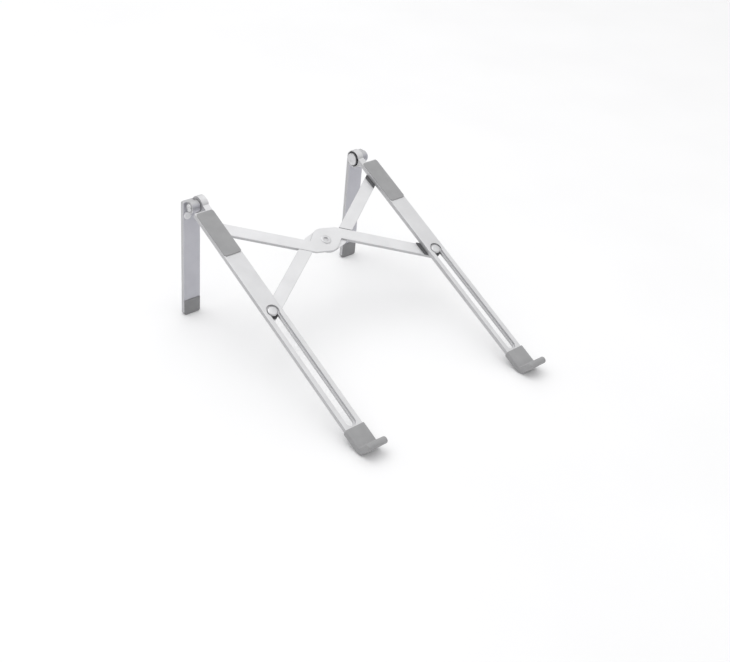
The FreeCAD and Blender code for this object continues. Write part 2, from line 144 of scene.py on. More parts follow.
# settings of the painted edge highlight and edge shade, of the painted shade on side faces, and the bump distances
paintedLightAndBumps = {
    "bevelSamples": 6,
    "paintedEdgeFull": 0.86, "whole": 0.995,     # true against rounded normal, as a cosine
    "cut": 0.55, "rolled": 0.85,        # true against plate normal, as a cosine
    "rollBump": 0.0002, "flowBump": 0.0004, "fineBump": 0.0001,
}


def edgeMask(tree, radius, place):
    # 0 on flats, rising where a sharp edge is near
    bevel = addNode(tree, "ShaderNodeBevel", place, samples=paintedLightAndBumps["bevelSamples"])
    bevel.inputs["Radius"].default_value = radius
    geometry = addNode(tree, "ShaderNodeNewGeometry", (place[0], place[1] - 160))
    dot = addNode(tree, "ShaderNodeVectorMath", (place[0] + 200, place[1]), operation="DOT_PRODUCT")
    tree.links.new(bevel.outputs["Normal"], dot.inputs[0])
    tree.links.new(geometry.outputs["Normal"], dot.inputs[1])
    return spread(tree, dot.outputs["Value"], 1.0, 0.0, (place[0] + 400, place[1]),
                  paintedLightAndBumps["paintedEdgeFull"], paintedLightAndBumps["whole"])


def paintEdgeHighlightAndShade(tree, shader, base, look):
    # the base colour, turning to the edge colour along sharp edges: a painted highlight on the metals, painted
    # shade on the silicone
    mix = addNode(tree, "ShaderNodeMix", (-250, 300), data_type="RGBA")
    mix.inputs["B"].default_value = (*look["edge"], 1)
    tree.links.new(edgeMask(tree, look["edgeWidth"], (-1100, 600)), mix.inputs["Factor"])
    tree.links.new(base, mix.inputs["A"])
    tree.links.new(mix.outputs["Result"], shader.inputs["Base Color"])


def setRoughness(tree, shader, source, look):
    rough = spread(tree, source, look["roughLow"], look["roughHigh"], (-500, 0))
    tree.links.new(rough, shader.inputs["Roughness"])


def stackBumps(tree, shader, layers):
    # layers of (noise, strength, distance), fine over coarse
    below = None
    for i, (noise, strength, distance) in enumerate(layers):
        bump = addNode(tree, "ShaderNodeBump", (-300 + 180 * i, -500))
        bump.inputs["Strength"].default_value = strength
        bump.inputs["Distance"].default_value = distance
        tree.links.new(noise.outputs["Fac"], bump.inputs["Height"])
        if below:
            tree.links.new(below.outputs["Normal"], bump.inputs["Normal"])
        below = bump
    tree.links.new(below.outputs["Normal"], shader.inputs["Normal"])


def cutEdgeMask(tree, faceNormal, place):
    # 0 on the plate's rolled faces, 1 on its cut side faces, which take painted shade
    coords = addNode(tree, "ShaderNodeTexCoord", place)
    dot = addNode(tree, "ShaderNodeVectorMath", (place[0] + 200, place[1]), operation="DOT_PRODUCT")
    dot.inputs[1].default_value = faceNormal
    size = addNode(tree, "ShaderNodeMath", (place[0] + 400, place[1]), operation="ABSOLUTE")
    tree.links.new(coords.outputs["Normal"], dot.inputs[0])
    tree.links.new(dot.outputs["Value"], size.inputs[0])
    return spread(tree, size.outputs[0], 1.0, 0.0, (place[0] + 600, place[1]), paintedLightAndBumps["cut"], paintedLightAndBumps["rolled"])


def anodisedAluminium(name, look):
    # bead-blasted and clear anodised: fine matte grain, faint clouds, painted shade on the cut side faces
    # and a painted highlight along the rims
    mat, tree, shader = newMaterial(name)
    clouds = grain(tree, look["cloudScale"], 3, (-900, 300))
    beads = grain(tree, look["beadScale"], 2, (-900, -100))
    rolled = grain(tree, look["rollScale"], 2, (-900, -400), look["rollStretch"])
    face = tint(tree, clouds.outputs["Fac"], look["dark"], look["light"], (-600, 300))
    cut = tint(tree, rolled.outputs["Fac"], look["cutDark"], look["cutLight"], (-600, 100))
    base = mixColour(tree, cutEdgeMask(tree, look["faceNormal"], (-1300, 900)), face, cut, (-400, 400))
    paintEdgeHighlightAndShade(tree, shader, base, look)
    setRoughness(tree, shader, beads.outputs["Fac"], look)
    shader.inputs["Metallic"].default_value = look["metallic"]
    shader.inputs["Specular IOR Level"].default_value = look["specular"]
    stackBumps(tree, shader, [(rolled, look["rollDepth"], paintedLightAndBumps["rollBump"]),
                              (beads, look["beadDepth"], paintedLightAndBumps["fineBump"])])
    return mat


def mouldedSilicone(name, look):
    # soft matte rubber: fine mould texture, slightly dusty, with painted shade where it turns an edge
    mat, tree, shader = newMaterial(name)
    clouds = grain(tree, look["cloudScale"], 4, (-900, 300))
    skin = grain(tree, look["skinScale"], 3, (-900, -100))
    flow = grain(tree, look["flowScale"], 2, (-900, -400), look["flowStretch"])
    base = tint(tree, clouds.outputs["Fac"], look["dark"], look["light"], (-600, 300))
    paintEdgeHighlightAndShade(tree, shader, base, look)
    setRoughness(tree, shader, skin.outputs["Fac"], look)
    shader.inputs["Sheen Weight"].default_value = look["sheen"]
    shader.inputs["Sheen Roughness"].default_value = look["sheenRough"]
    shader.inputs["Specular IOR Level"].default_value = look["specular"]
    stackBumps(tree, shader, [(flow, look["flowDepth"], paintedLightAndBumps["flowBump"]),
                              (skin, look["skinDepth"], paintedLightAndBumps["fineBump"])])
    return mat


def turnedSteel(name, look):
    # plated steel: fine scratches over a satin ground
    mat, tree, shader = newMaterial(name)
    clouds = grain(tree, look["cloudScale"], 3, (-900, 300))
    scratch = grain(tree, look["scratchScale"], 4, (-900, -100), look["scratchStretch"])
    base = tint(tree, clouds.outputs["Fac"], look["dark"], look["light"], (-600, 300))
    tree.links.new(base, shader.inputs["Base Color"])
    setRoughness(tree, shader, scratch.outputs["Fac"], look)
    shader.inputs["Metallic"].default_value = look["metallic"]
    stackBumps(tree, shader, [(scratch, look["scratchDepth"], paintedLightAndBumps["fineBump"])])
    return mat


def mouldedPlastic(name, look):
    # nylon: satin, with a fine mould texture
    mat, tree, shader = newMaterial(name)
    clouds = grain(tree, look["cloudScale"], 3, (-900, 300))
    skin = grain(tree, look["skinScale"], 2, (-900, -100))
    base = tint(tree, clouds.outputs["Fac"], look["dark"], look["light"], (-600, 300))
    tree.links.new(base, shader.inputs["Base Color"])
    setRoughness(tree, shader, skin.outputs["Fac"], look)
    stackBumps(tree, shader, [(skin, look["skinDepth"], paintedLightAndBumps["fineBump"])])
    return mat


# the edge colour is a painted highlight along the rims; the side colours are painted shade on the plate's side
# faces
railLook = {
    "dark": (0.64, 0.64, 0.65), "light": (0.69, 0.69, 0.70), "edge": (0.86, 0.86, 0.87),
    "cutDark": (0.48, 0.48, 0.49), "cutLight": (0.53, 0.53, 0.54), "faceNormal": railNormal,
    "edgeWidth": 0.00035, "metallic": 0.6, "specular": 0.5,
    "roughLow": 0.38, "roughHigh": 0.48,
    "cloudScale": 60, "beadScale": 3800, "beadDepth": 0.22,
    "rollScale": 900, "rollStretch": (1, 0.03, 0.03), "rollDepth": 0.05,
}
armLook = dict(railLook, dark=(0.71, 0.71, 0.72), light=(0.76, 0.76, 0.77))
# the legs' darker base colour is painted shade on their upright faces, and their edge colour a painted highlight
shadedLegLook = dict(railLook, dark=(0.50, 0.50, 0.54), light=(0.54, 0.54, 0.58), edge=(0.80, 0.80, 0.82),
               faceNormal=(0, 1, 0), roughLow=0.42, roughHigh=0.52)
# the edge colour of the silicone is painted shade where it turns an edge
padLook = {
    "dark": (0.30, 0.30, 0.305), "light": (0.34, 0.34, 0.345), "edge": (0.24, 0.24, 0.245),
    "edgeWidth": 0.0006, "sheen": 0.15, "sheenRough": 0.5, "specular": 0.35,
    "roughLow": 0.62, "roughHigh": 0.78,
    "cloudScale": 90, "skinScale": 5200, "skinDepth": 0.30,
    "flowScale": 260, "flowStretch": (1, 0.25, 0.25), "flowDepth": 0.12,
}
# the foot pads' edge colour is painted shade too
footLook = dict(padLook, dark=(0.23, 0.23, 0.235), light=(0.265, 0.265, 0.27),
                edge=(0.19, 0.19, 0.195))
pinLook = {
    "dark": (0.62, 0.62, 0.63), "light": (0.68, 0.68, 0.69), "metallic": 0.9,
    "roughLow": 0.34, "roughHigh": 0.46, "cloudScale": 300,
    "scratchScale": 1600, "scratchStretch": (1, 0.2, 0.2), "scratchDepth": 0.10,
}
darkLook = dict(pinLook, dark=(0.10, 0.10, 0.105), light=(0.15, 0.15, 0.155),
                roughLow=0.35, roughHigh=0.5)
nylonLook = {
    "dark": (0.085, 0.085, 0.089), "light": (0.105, 0.105, 0.110),
    "roughLow": 0.5, "roughHigh": 0.62, "cloudScale": 200, "skinScale": 4200, "skinDepth": 0.25,
}
stopLook = dict(nylonLook, dark=(0.74, 0.74, 0.76), light=(0.79, 0.79, 0.81),
                roughLow=0.35, roughHigh=0.48)

finishes = {
    "rail_aluminium": anodisedAluminium("railAluminium", railLook),
    "arm_aluminium": anodisedAluminium("armAluminium", armLook),
    "leg_aluminium": anodisedAluminium("legAluminium", shadedLegLook),
    "pad_silicone": mouldedSilicone("padSilicone", padLook),
    "foot_silicone": mouldedSilicone("footSilicone", footLook),
    "rivet_steel": turnedSteel("rivetSteel", pinLook),
    "dark_steel": turnedSteel("blackSteel", darkLook),
    "spacer_nylon": mouldedPlastic("spacerNylon", nylonLook),
    "stop_nylon": mouldedPlastic("stopNylon", stopLook),
}
slotOfNode = {s["node"]: s["material_slot"] for s in frame["record"]["subparts"]}
bodyOfNode = {node: body for body, names in frame["record"]["behaviour"]["bodies"].items()
              for node in names}
for nodeName, node in nodes.items():
    node.data.materials.clear()
    node.data.materials.append(finishes[slotOfNode[nodeName]])
print("materials:", len(finishes))


# mesh helpers
def quarterTurn(steps):
    return [math.pi / 2 * i / steps for i in range(steps + 1)]


def ringSkin(rings):
    # skins equal-length closed rings, with flat ends
    mesh = bmesh.new()
    loops = [[mesh.verts.new(p) for p in ring] for ring in rings]
    for a, b in zip(loops, loops[1:]):
        for i in range(len(a)):
            j = (i + 1) % len(a)
            mesh.faces.new((a[i], a[j], b[j], b[i]))
    mesh.faces.new(list(reversed(loops[0])))
    mesh.faces.new(loops[-1])
    bmesh.ops.recalc_face_normals(mesh, faces=mesh.faces)
    return mesh


def finishPiece(mesh, name, slotName, smoothAngle=35):
    data = bpy.data.meshes.new(name)
    mesh.to_mesh(data)
    mesh.free()
    piece = bpy.data.objects.new(name, data)
    bpy.context.scene.collection.objects.link(piece)
    data.materials.append(finishes[slotName])
    data.shade_smooth()
    data.set_sharp_from_angle(angle=math.radians(smoothAngle))
    return piece


def roundedOutline(halfX, halfY, corner, steps):
    # corner points of a rounded rectangle, anticlockwise
    points = []
    for cornerNumber, (sx, sy) in enumerate(((1, 1), (-1, 1), (-1, -1), (1, -1))):
        for i in range(steps + 1):
            angle = math.pi / 2 * (cornerNumber + i / steps)
            points.append((sx * (halfX - corner) + corner * math.cos(angle),
                           sy * (halfY - corner) + corner * math.sin(angle)))
    return points


# rear pads: thin silicone strips glued on the rails
rearPad = {
    "corner": 0.0022,       # plan corners
    "cornerSteps": 8,
    "edgeRound": 0.00035,   # top edge
    "edgeSteps": 4,
    "crown": 0.00010,       # the middle stands this much over the edge
    "crownRings": 5,
    "openMiddle": 0.4,      # of a ring's step, closed by one flat face
    "leastCorner": 0.00015,
    "lift": 0.00001,        # over the rail
}


def padRings(low, high, s):
    # from the rail up the wall, over the rounded edge and in across the crowned top
    mid = (low + high) / 2
    half = (high - low) / 2
    top = high.z - s["crown"]
    levels = [(0.0, low.z + s["lift"])]
    for turn in quarterTurn(s["edgeSteps"]):
        levels.append((s["edgeRound"] * (1 - math.cos(turn)), top - s["edgeRound"] * (1 - math.sin(turn))))
    reach = half.x - s["edgeRound"]
    for i in range(1, s["crownRings"] + 1):
        part = i / (s["crownRings"] + s["openMiddle"])
        levels.append((s["edgeRound"] + reach * part, top + s["crown"] * math.sin(part * math.pi / 2)))
    rings = []
    for inset, z in levels:
        corner = max(s["corner"] - inset, s["leastCorner"])
        outline = roundedOutline(half.x - inset, half.y - inset, corner, s["cornerSteps"])
        rings.append([Vector((mid.x + x, mid.y + y, z)) for x, y in outline])
    return rings


for side in sides:
    node = "rear_pad_" + side
    base = Vector(joints["scissor_fold"]["pos_m"])
    low, high = localBox(node, base)
    rings = [[railPoint(base, *p) for p in ring] for ring in padRings(low, high, rearPad)]
    pad = finishPiece(ringSkin(rings), "rearPad_" + side, "pad_silicone")
    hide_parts(node)
    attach(pad, side + "_rail")
print("rear pads made")


# hook sleeves: thin boots pulled over the front hooks
hookSleeve = {
    "lean": math.radians(16.5),   # lip forward of square
    "innerRadius": 0.0022,        # of the bent bar
    "barThick": 0.0040,
    "lipLength": 0.0096,
    "wall": 0.0009,
    "underBack": 0.0167,          # underside stops short of the folded arm
    "sideRound": 0.0011,
    "sideSteps": 5,
    "bendSteps": 10,
    "tipSteps": 14,
    "rearRound": 0.00035,
    "rearSteps": 3,
    "hidden": 0.0001,             # the step is closed off this far inside the bar
    "farBack": 0.1,               # any length, while only the front is measured
}


def hookOutline(s, grow, back, underBack):
    # side view of the sleeve in (y, z), grown by a wall about the bent bar
    lean = s["lean"]
    inner = s["innerRadius"] - grow
    outer = s["innerRadius"] + s["barThick"] + grow
    middle = s["innerRadius"] + s["barThick"] / 2
    centre = Vector((s["innerRadius"] * (1 - math.sin(lean)) / math.cos(lean), s["innerRadius"]))
    tip = centre + Vector((-math.cos(lean) * middle - math.sin(lean) * s["lipLength"],
                           -math.sin(lean) * middle + math.cos(lean) * s["lipLength"]))

    def arc(around, radius, start, end, steps):
        turns = [start + (end - start) * i / steps for i in range(steps + 1)]
        return [around + Vector((math.cos(t), math.sin(t))) * radius for t in turns]

    top = centre.y - inner
    under = centre.y - outer
    soft = s["rearRound"]
    points = arc(Vector((back - soft, top - soft)), soft, 0, math.pi / 2, s["rearSteps"])
    points += arc(centre, inner, -math.pi / 2, -math.pi + lean, s["bendSteps"])
    points += arc(tip, s["barThick"] / 2 + grow, lean, lean + math.pi, s["tipSteps"])
    points += arc(centre, outer, -math.pi + lean, -math.pi / 2, s["bendSteps"])
    points += arc(Vector((underBack - soft, under + soft)), soft, -math.pi / 2, 0, s["rearSteps"])
    closed = s["hidden"] - s["barThick"]
    points += [Vector((underBack, closed)), Vector((back, closed))]
    return points


def sleeveRings(s, width, back):
    # the outline carried across the bar, drawn in towards both side faces
    rings = []
    turns = quarterTurn(s["sideSteps"])
    for sign, order in ((-1, turns), (1, turns[::-1])):
        for turn in order:
            inset = s["sideRound"] * (1 - math.sin(turn))
            x = sign * (width / 2 - s["sideRound"] * (1 - math.cos(turn)))
            outline = hookOutline(s, s["wall"] - inset, back - inset, s["underBack"] - inset)
            rings.append([(x, p.x, p.y) for p in outline])
    return rings


for side in sides:
    node = "hook_sleeve_" + side
    low, high = localBox(node, Vector())
    # the hook's inside corner lies on the rail's top plane, a sleeve's length before its rear edge
    topZ = localBox("rear_pad_" + side, Vector())[0].z
    width = high.x - low.x
    corner = Vector(((low.x + high.x) / 2, 0, topZ))
    bare = hookOutline(hookSleeve, hookSleeve["wall"], hookSleeve["farBack"], hookSleeve["farBack"])
    back = high.y - low.y + min(p.x for p in bare)
    corner.y = high.y - back
    rings = [[railPoint(Vector(), corner.x + x, corner.y + y, corner.z + z) for x, y, z in ring]
             for ring in sleeveRings(hookSleeve, width, back)]
    sleeve = finishPiece(ringSkin(rings), "hookSleeve_" + side, "pad_silicone")
    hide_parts(node)
    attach(sleeve, side + "_rail")
print("hook sleeves made, rear edge", round(back * 1000, 2), "mm behind the corner")


# foot pads: boots on the leg ends, front wall taller than the back one
footPad = {
    "lowerCorner": 0.0021,    # seen from the front
    "planCorner": 0.0005,
    "cornerLimit": 2.2,       # no corner is over the wall's thickness divided by this
    "cornerSteps": 4,
    "bottomSteps": 6,
    "lipRound": 0.0003,
    "lipSteps": 3,
    "backHeight": 0.0090,     # the back wall stops lower than the front one
    "intoLeg": 0.0006,
}


def footRings(low, high, legFront, legBack, s):
    # stacked level by level: (height, side inset, front y, back y)
    midX = (low.x + high.x) / 2
    half = (high.x - low.x) / 2
    soft = s["lipRound"]
    levels = []
    for turn in quarterTurn(s["bottomSteps"]):
        inset = s["lowerCorner"] * (1 - math.sin(turn))
        edge = soft * (1 - math.sin(turn))
        levels.append((low.z + s["lowerCorner"] * (1 - math.cos(turn)), inset,
                       low.y + edge, high.y - edge))
    backTop = low.z + s["backHeight"]
    for turn in quarterTurn(s["lipSteps"]):
        levels.append((backTop - soft * (1 - math.sin(turn)), 0,
                       low.y, high.y - soft * (1 - math.cos(turn))))
    levels.append((backTop, 0, low.y, legBack - s["intoLeg"]))
    for turn in quarterTurn(s["lipSteps"]):
        inset = soft * (1 - math.cos(turn))
        levels.append((high.z - soft * (1 - math.sin(turn)), inset,
                       low.y + inset, legBack - s["intoLeg"]))
    levels.append((high.z, soft, legFront + s["intoLeg"], legFront + s["intoLeg"] * 2))
    rings = []
    for z, inset, front, back in levels:
        corner = min(s["planCorner"], (back - front) / s["cornerLimit"])
        outline = roundedOutline(half - inset, (back - front) / 2, corner, s["cornerSteps"])
        rings.append([Vector((midX + x, (front + back) / 2 + y, z)) for x, y in outline])
    return rings


for side in sides:
    node = "foot_pad_" + side
    low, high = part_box(node)
    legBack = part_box("leg_" + side)[1].y
    legFront = min(v.co.y for v in nodes["leg_" + side].data.vertices if v.co.z < high.z)
    rings = footRings(low, high, legFront, legBack, footPad)
    pad = finishPiece(ringSkin(rings), "footPad_" + side, "foot_silicone")
    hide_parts(node)
    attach(pad, side + "_leg")
print("foot pads made")


# turned rivets, pins, washers and stop buttons, all lathed by one kind of node tree
turned = {
    "rows": 33,               # profile rows; a power of two plus one keeps the corners exact
    "segments": 48,
    "smoothAngle": 30,
    "weld": 0.000002,         # rows that meet within this are joined
    "sliver": 0.000001,       # faces thinner than this are dissolved
    "edgeSteps": 5,           # rounded edges of nuts and buttons
    "shank": 0.0025,
    "sliderShank": 0.0030,
    "tailRadius": 0.0044,
    "tailThick": 0.0009,
    "tailGap": 0.00002,       # the tail clears the plate by this much, so it turns freely
    "tailShape": ((0, 0), (0.45, 0), (0.72, 0.1), (0.88, 0.28), (0.97, 0.55), (1, 0.8), (1, 1)),
    "sliderHead": 0.0043,
    "pivotHead": 0.0041,
    "hubHead": 0.0045,
    "eyelet": 0.0020,
    "hingeHead": 0.0032,
    "dimple": 0.0011,
    "hingeCap": 0.0055,
    # rims of heads and holes: in from the edge, down from the top
    "sliderRim": ((0.0001, 0.00155), (0, 0.00145), (0, 0.00065), (0.00005, 0.00055),
                  (0.00055, 0.00006), (0.00075, 0)),
    "pivotRim": ((0, 0.0013), (0, 0)),
    "hubRim": ((0.0001, 0.0006), (0, 0.00045), (0.00006, 0.00022), (0.00026, 0.00006), (0.0006, 0)),
    "eyeletRim": ((-0.0007, 0), (-0.0003, 0.00006), (-0.0001, 0.00022), (0, 0.0005), (0, 0.0012)),
    "hingeRim": ((0, 0.0014), (0, 0.0004), (0.00012, 0.00015), (0.0004, 0)),
    "dimpleRim": ((-0.0001, 0), (0.0001, 0.0003)),
    # the hinge cap is measured from its face at 0, so its drops are negative
    "dishRim": ((0.0004, -0.0001), (0.0002, 0)),
    "capRim": ((0.0003, 0), (0.00008, -0.00009), (0, -0.0003), (0, -0.0006)),
    "nutRound": 0.0005,
    "washerBore": 0.00305,
    "washerRound": 0.0001,
    "buttonRound": 0.0004,
    "buttonWall": 0.94,       # share of the thickness before the dome
    "buttonDome": ((0.55, 0.985), (0.25, 1), (0, 1)),
}


def setCurve(node, values):
    # straight runs between evenly spaced values
    curve = node.mapping.curves[0]
    last = len(values) - 1
    while len(curve.points) < len(values):
        curve.points.new(0.5, 0.5)
    for i, value in enumerate(values):
        curve.points[i].location = (i / last, value)
        curve.points[i].handle_type = "VECTOR"
    node.mapping.update()


def turnedTree(name, profile, material):
    # a half section spun round Z and set at each input point
    radius = max(r for r, z in profile)
    height = max(z for r, z in profile)
    rows = list(profile) + [profile[-1]] * (turned["rows"] - len(profile))
    tree = bpy.data.node_groups.new(name, "GeometryNodeTree")
    sockets = tree.interface
    sockets.new_socket("Geometry", in_out="INPUT", socket_type="NodeSocketGeometry")
    sockets.new_socket("Radius", in_out="INPUT", socket_type="NodeSocketFloat").default_value = radius
    sockets.new_socket("Height", in_out="INPUT", socket_type="NodeSocketFloat").default_value = height
    segments = sockets.new_socket("Segments", in_out="INPUT", socket_type="NodeSocketInt")
    segments.default_value = turned["segments"]
    sockets.new_socket("Aim", in_out="INPUT", socket_type="NodeSocketRotation")
    sockets.new_socket("Geometry", in_out="OUTPUT", socket_type="NodeSocketGeometry")
    start = addNode(tree, "NodeGroupInput", (-900, 0))
    end = addNode(tree, "NodeGroupOutput", (1500, 0))
    grid = addNode(tree, "GeometryNodeMeshGrid", (-500, 200))
    grid.inputs["Size X"].default_value = 1
    grid.inputs["Size Y"].default_value = 1
    grid.inputs["Vertices Y"].default_value = turned["rows"]
    place = addNode(tree, "GeometryNodeInputPosition", (-900, -300))
    split = addNode(tree, "ShaderNodeSeparateXYZ", (-700, -300))
    angle = addNode(tree, "ShaderNodeMath", (-500, -200), operation="MULTIPLY")
    angle.inputs[1].default_value = 2 * math.pi
    along = addNode(tree, "ShaderNodeMath", (-500, -400), operation="ADD")
    along.inputs[1].default_value = 0.5
    outCurve = addNode(tree, "ShaderNodeFloatCurve", (-300, -400))
    upCurve = addNode(tree, "ShaderNodeFloatCurve", (-300, -700))
    setCurve(outCurve, [r / radius for r, z in rows])
    setCurve(upCurve, [z / height for r, z in rows])
    outward = addNode(tree, "ShaderNodeMath", (0, -400), operation="MULTIPLY")
    upward = addNode(tree, "ShaderNodeMath", (0, -700), operation="MULTIPLY")
    cosine = addNode(tree, "ShaderNodeMath", (-300, -100), operation="COSINE")
    sine = addNode(tree, "ShaderNodeMath", (-300, -250), operation="SINE")
    sideX = addNode(tree, "ShaderNodeMath", (200, -100), operation="MULTIPLY")
    sideY = addNode(tree, "ShaderNodeMath", (200, -250), operation="MULTIPLY")
    joined = addNode(tree, "ShaderNodeCombineXYZ", (400, -200))
    spun = addNode(tree, "GeometryNodeSetPosition", (600, 200))
    welded = addNode(tree, "GeometryNodeMergeByDistance", (800, 200))
    welded.inputs["Distance"].default_value = turned["weld"]
    instance = addNode(tree, "GeometryNodeInstanceOnPoints", (1000, 100))
    real = addNode(tree, "GeometryNodeRealizeInstances", (1150, 100))
    paint = addNode(tree, "GeometryNodeSetMaterial", (1320, 100))
    paint.inputs["Material"].default_value = material
    for source, target in (
        (start.outputs["Segments"], grid.inputs["Vertices X"]),
        (place.outputs[0], split.inputs[0]),
        (split.outputs["X"], angle.inputs[0]),
        (split.outputs["Y"], along.inputs[0]),
        (along.outputs[0], outCurve.inputs["Value"]),
        (along.outputs[0], upCurve.inputs["Value"]),
        (outCurve.outputs["Value"], outward.inputs[0]),
        (start.outputs["Radius"], outward.inputs[1]),
        (upCurve.outputs["Value"], upward.inputs[0]),
        (start.outputs["Height"], upward.inputs[1]),
        (angle.outputs[0], cosine.inputs[0]),
        (angle.outputs[0], sine.inputs[0]),
        (cosine.outputs[0], sideX.inputs[0]),
        (outward.outputs[0], sideX.inputs[1]),
        (sine.outputs[0], sideY.inputs[0]),
        (outward.outputs[0], sideY.inputs[1]),
        (sideX.outputs[0], joined.inputs["X"]),
        (sideY.outputs[0], joined.inputs["Y"]),
        (upward.outputs[0], joined.inputs["Z"]),
        (grid.outputs["Mesh"], spun.inputs["Geometry"]),
        (joined.outputs[0], spun.inputs["Position"]),
        (spun.outputs["Geometry"], welded.inputs["Geometry"]),
        (start.outputs["Geometry"], instance.inputs["Points"]),
        (welded.outputs["Geometry"], instance.inputs["Instance"]),
        (start.outputs["Aim"], instance.inputs["Rotation"]),
        (instance.outputs["Instances"], real.inputs["Geometry"]),
        (real.outputs["Geometry"], paint.inputs["Geometry"]),
        (paint.outputs["Geometry"], end.inputs["Geometry"]),
    ):
        tree.links.new(source, target)
    return tree


def turnedPiece(name, tree, points, aim, node):
    # runs the tree on a few points and keeps the result as a plain mesh in place of the node
    data = bpy.data.meshes.new(name + "Points")
    data.from_pydata(points, [], [])
    seed = bpy.data.objects.new(name + "Seed", data)
    bpy.context.scene.collection.objects.link(seed)
    modifier = seed.modifiers.new("turned", "NODES")
    modifier.node_group = tree
    aimSocket = next(item.identifier for item in tree.interface.items_tree if item.name == "Aim")
    modifier[aimSocket] = tuple(aim.to_euler())
    bpy.context.view_layer.update()
    graph = bpy.context.evaluated_depsgraph_get()
    plain = bpy.data.meshes.new_from_object(seed.evaluated_get(graph))
    seed.modifiers.remove(modifier)
    bpy.data.objects.remove(seed)
    mesh = bmesh.new()
    mesh.from_mesh(plain)
    bpy.data.meshes.remove(plain)
    bmesh.ops.dissolve_degenerate(mesh, dist=turned["sliver"], edges=mesh.edges)
    bmesh.ops.recalc_face_normals(mesh, faces=mesh.faces)
    piece = finishPiece(mesh, name, slotOfNode[node], turned["smoothAngle"])
    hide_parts(node)
    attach(piece, bodyOfNode[node])


def domedTail(t):
    # peened end of a rivet, from its middle out to the shoulder under the washer
    rise = t["tailThick"] - t["tailGap"]
    return [(t["tailRadius"] * out, rise * up) for out, up in t["tailShape"]]


def rim(radius, top, shape):
    return [(radius - inset, top - drop) for inset, drop in shape]


def rivetProfile(t, height, shank, head):
    # tail, shank, then the head's outline
    return domedTail(t) + [(shank, t["tailThick"]), (shank, head[0][1])] + head + [(0, head[-1][1])]


def sliderPinProfile(t, height):
    return rivetProfile(t, height, t["sliderShank"], rim(t["sliderHead"], height, t["sliderRim"]))


def pivotRivetProfile(t, height):
    return rivetProfile(t, height, t["shank"], rim(t["pivotHead"], height, t["pivotRim"]))


def hubRivetProfile(t, height):
    # a rolled eyelet: the head turns back down into its hole
    head = rim(t["hubHead"], height, t["hubRim"]) + rim(t["eyelet"], height, t["eyeletRim"])
    return rivetProfile(t, height, t["shank"], head)


def hingePinProfile(t, height):
    # cap with a shallow dish, shank, then a head with a dimple
    dish = rim(t["shank"], 0, t["dishRim"])
    cap = rim(t["hingeCap"], 0, t["capRim"])
    head = rim(t["hingeHead"], height, t["hingeRim"])
    dimple = rim(t["dimple"], height, t["dimpleRim"])
    return ([(0, dish[0][1])] + dish + cap + [(t["shank"], cap[-1][1]), (t["shank"], head[0][1])]
            + head + dimple + [(0, dimple[-1][1])])


def washerProfile(t, radius, thick):
    bore = t["washerBore"]
    soft = t["washerRound"]
    return [(bore, 0), (radius - soft, 0), (radius, soft), (radius, thick - soft), (radius - soft, thick),
            (bore, thick), (bore, 0)]


def nutProfile(t, radius, thick):
    soft = t["nutRound"]
    edge = [(radius - soft * (1 - math.sin(turn)), soft * (1 - math.cos(turn)))
            for turn in quarterTurn(t["edgeSteps"])]
    return [(t["shank"], 0)] + edge + [(radius, thick), (t["shank"], thick), (t["shank"], 0)]


def buttonProfile(t, radius, thick):
    soft = t["buttonRound"]
    wall = thick * t["buttonWall"]
    edge = [(radius - soft * (1 - math.cos(turn)), wall - soft * (1 - math.sin(turn)))
            for turn in quarterTurn(t["edgeSteps"])]
    return [(0, 0), (radius, 0)] + edge + [(radius * out, thick * up) for out, up in t["buttonDome"]]


rearSides = {"upper": "left", "lower": "right"}     # the rail that each arm's rear end is riveted to
square = railTurn.to_quaternion()
origin = Vector()


def squareTree(name, node, profile):
    # as tall as its node, standing square to the rail
    low, high = localBox(node, origin)
    return turnedTree(name, profile(turned, high.z - low.z), finishes["rivet_steel"])


sliderTree = squareTree("sliderPinTree", "upper_arm_slider_pin", sliderPinProfile)
pivotTree = squareTree("pivotRivetTree", "pivot_rivet_left", pivotRivetProfile)
hubTree = squareTree("hubRivetTree", "hub_rivet", hubRivetProfile)
low, high = localBox("hub_rivet", origin)
hubSpot = railPoint(origin, (low.x + high.x) / 2, (low.y + high.y) / 2, low.z)
turnedPiece("hubRivet", hubTree, [hubSpot], square, "hub_rivet")

washerLow, washerHigh = localBox("upper_arm_tail_washers", origin)
washerRadius = washerHigh.x - joints["right_rail_turn"]["pos_m"][0]
washerShape = washerProfile(turned, washerRadius, washerHigh.z - washerLow.z)
washerTree = turnedTree("tailWasherTree", washerShape, finishes[slotOfNode["upper_arm_tail_washers"]])
for arm, rearSide in rearSides.items():
    spots = []
    for node, tree in (("pivot_rivet_" + rearSide, pivotTree), (arm + "_arm_slider_pin", sliderTree)):
        low, high = localBox(node, origin)
        middle = (low + high) / 2
        turnedPiece(node + "_turned", tree, [railPoint(origin, middle.x, middle.y, low.z)], square, node)
        spots.append(railPoint(origin, middle.x, middle.y, washerLow.z))
    turnedPiece(arm + "TailWashers", washerTree, spots, square, arm + "_arm_tail_washers")

